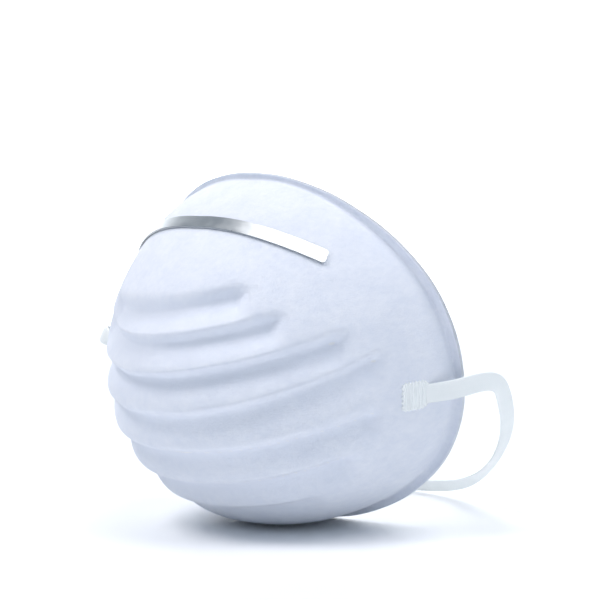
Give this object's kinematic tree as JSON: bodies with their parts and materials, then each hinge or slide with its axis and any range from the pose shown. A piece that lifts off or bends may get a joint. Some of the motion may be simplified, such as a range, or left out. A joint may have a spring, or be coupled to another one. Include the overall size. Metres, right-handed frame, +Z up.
{
  "type": "disposable dust mask",
  "caption": "Moulded cup dust mask of bonded nonwoven layers with a bendable metal nose clip and one elastic head strap welded to its sides.",
  "frame": {"origin": "in the middle of the rim, where the mask meets the face that holds it", "axes": "+X to the wearer's left, -Y the way the cup bulges, +Z up. The mask leans forwards by 15.2 degrees on to its belly, so the plane of the rim faces a little upwards."},
  "size_m": [0.1611, 0.1436, 0.1142],
  "materials": {
    "cover_web": "fine matt nonwoven, white with a faint blue cast",
    "filter_web": "soft white meltblown web",
    "moulded_shell": "heat-moulded white polyester felt, slightly glazed",
    "clip_metal": "brushed bare aluminium",
    "hot_melt": "translucent milky hot-melt",
    "welded_elastic": "elastic melted flat, ribbed by the welding horn",
    "elastic_band": "smooth white elastic band"
  },
  "bodies": {
    "cup": {"outer_cover": "cover_web", "filter_layer": "filter_web", "inner_shell": "moulded_shell", "nose_clip": "clip_metal", "clip_hot_melt": "hot_melt", "strap_end_left": "welded_elastic", "strap_end_right": "welded_elastic"},
    "strap": {"head_strap": "elastic_band"}
  },
  "joints": [
    {"name": "strap_swing", "type": "hinge", "parent": "cup", "child": "strap", "pos_m": [0, 0.00299, -0.01111], "axis": [1, 0, 0], "range_deg": [0, 150]}
  ]
}
